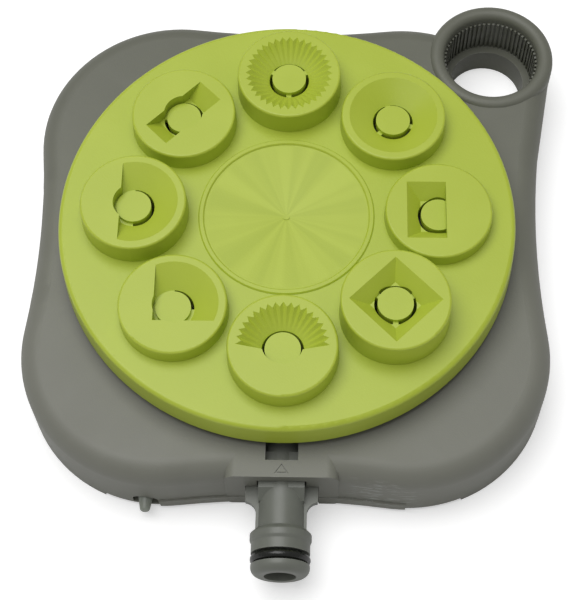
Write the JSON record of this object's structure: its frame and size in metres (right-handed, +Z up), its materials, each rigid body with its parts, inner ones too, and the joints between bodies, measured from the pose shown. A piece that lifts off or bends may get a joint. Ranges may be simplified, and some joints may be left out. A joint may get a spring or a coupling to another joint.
{
  "type": "multi-pattern sprinkler",
  "caption": "Lawn sprinkler: a round green dial with different spray nozzles turns on a grey moulded base with a hose nipple and a corner socket.",
  "frame": {"origin": "on the ground, under the axis that the dial turns about", "axes": "+Z up, -Y out of the hose nipple at the front, +X to the side of the corner socket"},
  "size_m": [0.1586, 0.1835, 0.0449],
  "materials": {
    "base_plastic": "matte, fine moulded grain",
    "inlet_plastic": "satin moulded",
    "dial_plastic": "satin moulded lime green",
    "port_plastic": "satin moulded",
    "seal_rubber": "black, slightly glossy",
    "screw_steel": "zinc-plated",
    "spring_steel": "bright drawn wire",
    "slide_plastic": "natural low-friction plastic",
    "pin_plastic": "light grey moulded"
  },
  "bodies": {
    "base": {"base_shell": "base_plastic", "inlet_body": "inlet_plastic", "inlet_o_ring": "seal_rubber", "inlet_screws": "screw_steel", "thrust_ring": "slide_plastic", "seal_spring": "spring_steel", "index_spring": "spring_steel"},
    "turret": {"dial": "dial_plastic", "port_plate": "port_plastic", "chamber_gaskets": "seal_rubber", "port_plate_screws": "screw_steel", "pivot_screw": "screw_steel", "pivot_washer": "screw_steel"},
    "seal_carrier": {"outlet_sleeve": "slide_plastic", "sleeve_o_ring": "seal_rubber", "outlet_seal": "seal_rubber"},
    "plunger": {"index_plunger": "slide_plastic"},
    "cleaning_pin": {"cleaning_pin_handle": "pin_plastic", "cleaning_pin_needle": "spring_steel"}
  },
  "joints": [
    {"name": "dial_turn", "type": "hinge", "parent": "base", "child": "turret", "pos_m": [0, 0, 0.03], "axis": [0, 0, 1], "continuous": true},
    {"name": "seal_slide", "type": "slide", "parent": "base", "child": "seal_carrier", "axis": [0, 0, 1], "range_m": [-0.0008, 0], "stiffness_N_per_m": 2000, "springref_m": 0.001, "deforming": ["seal_spring"]},
    {"name": "index_slide", "type": "slide", "parent": "base", "child": "plunger", "axis": [0, 0, 1], "range_m": [-0.0005, 0], "stiffness_N_per_m": 800, "springref_m": 0.002, "deforming": ["index_spring"]},
    {"name": "pin_slide", "type": "slide", "parent": "base", "child": "cleaning_pin", "axis": [0, -1, 0], "range_m": [0, 0.052]}
  ]
}
